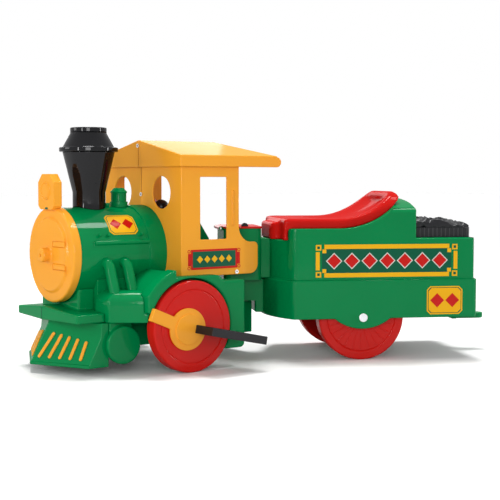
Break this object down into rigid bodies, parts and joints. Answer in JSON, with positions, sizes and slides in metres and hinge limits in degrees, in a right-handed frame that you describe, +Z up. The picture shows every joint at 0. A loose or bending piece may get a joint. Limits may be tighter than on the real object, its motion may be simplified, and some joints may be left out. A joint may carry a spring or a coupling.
{
  "type": "ride-on train",
  "caption": "Ride-on toy steam train: a locomotive with a roofed cab on a swivel pin, pulling a tender with a saddle, footboards, turning wheels and a lidded battery box.",
  "frame": {"origin": "on the floor under the middle of the box round the train, with the tender turned as in the picture", "axes": "+X towards the tender along the locomotive's centre line, which is the longest extent, -Y the side seen in the picture, +Z up"},
  "size_m": [1.1792, 0.819, 0.585],
  "materials": {
    "green_shell": "gloss",
    "yellow_shell": "gloss",
    "red_shell": "gloss",
    "black_gloss": "gloss",
    "black_matte": "satin",
    "grip_rubber": "matt",
    "strap_web": "woven",
    "steel": "brushed",
    "nylon": "satin"
  },
  "bodies": {
    "locomotive": {"chassis_shell": "green_shell", "boiler_shell": "green_shell", "steam_pipes": "green_shell", "backhead": "green_shell", "front_beam": "green_shell", "cowcatcher": "green_shell", "catcher_bars": "yellow_shell", "smokebox_door": "yellow_shell", "headlamp": "yellow_shell", "chimney_base": "black_gloss", "chimney_top": "black_gloss", "steam_bell": "green_shell", "safety_valve": "green_shell", "cylinder_left": "green_shell", "cylinder_right": "green_shell", "fender_left": "green_shell", "fender_right": "green_shell", "cab_left": "yellow_shell", "cab_right": "yellow_shell", "roof_left": "yellow_shell", "roof_right": "yellow_shell", "cab_screws": "steel", "front_axle": "steel", "axle_spacer": "black_matte", "gearbox": "black_matte", "motor": "steel", "hub_cover_left": "yellow_shell", "hub_cover_right": "yellow_shell", "footboard_left": "black_matte", "footboard_right": "black_matte", "handlebar": "black_matte", "grip_left": "grip_rubber", "grip_right": "grip_rubber", "swivel_pin": "steel", "swivel_washers": "nylon", "pin_clip": "steel"},
    "left_front_wheel": {"front_wheel_left": "red_shell", "front_bush_left": "nylon"},
    "right_front_wheel": {"front_wheel_right": "red_shell", "front_bush_right": "nylon", "drive_dog": "black_matte"},
    "accelerator": {"accelerator_button": "red_shell"},
    "tender": {"drawbar": "green_shell", "battery_box": "green_shell", "battery": "black_matte", "lid_pin": "steel", "tender_shell": "green_shell", "seat": "red_shell", "coal_tray": "black_matte", "coal_lumps": "black_matte", "rear_hitch": "green_shell", "rear_axle": "steel", "rear_spacer": "black_matte", "axle_caps": "steel"},
    "box_lid": {"battery_lid": "red_shell", "lid_strap": "strap_web"},
    "left_rear_wheel": {"rear_wheel_left": "red_shell", "rear_bush_left": "nylon"},
    "right_rear_wheel": {"rear_wheel_right": "red_shell", "rear_bush_right": "nylon"}
  },
  "joints": [
    {"name": "tender_swing", "type": "hinge", "parent": "locomotive", "child": "tender", "pos_m": [-0.11362, 0.08748, 0.164], "axis": [0, 0, 1], "range_deg": [-2.7, 61.3]},
    {"name": "left_front_spin", "type": "hinge", "parent": "locomotive", "child": "left_front_wheel", "pos_m": [-0.28362, -0.13601, 0.11], "axis": [0, 1, 0], "continuous": true},
    {"name": "right_front_spin", "type": "hinge", "parent": "locomotive", "child": "right_front_wheel", "pos_m": [-0.28362, 0.31099, 0.11], "axis": [0, 1, 0], "continuous": true},
    {"name": "accelerator_press", "type": "slide", "parent": "locomotive", "child": "accelerator", "axis": [0, 0, -1], "range_m": [0, 0.004], "stiffness_N_per_m": 400},
    {"name": "left_rear_spin", "type": "hinge", "parent": "tender", "child": "left_rear_wheel", "pos_m": [0.17912, -0.23274, 0.11], "axis": [0.4894, 0.8721, 0], "continuous": true},
    {"name": "right_rear_spin", "type": "hinge", "parent": "tender", "child": "right_rear_wheel", "pos_m": [0.31223, 0.00446, 0.11], "axis": [0.4894, 0.8721, 0], "continuous": true},
    {"name": "lid_open", "type": "hinge", "parent": "tender", "child": "box_lid", "pos_m": [-0.05781, 0.05616, 0.3333], "axis": [-0.4894, -0.8721, 0], "range_deg": [0, 95]}
  ]
}
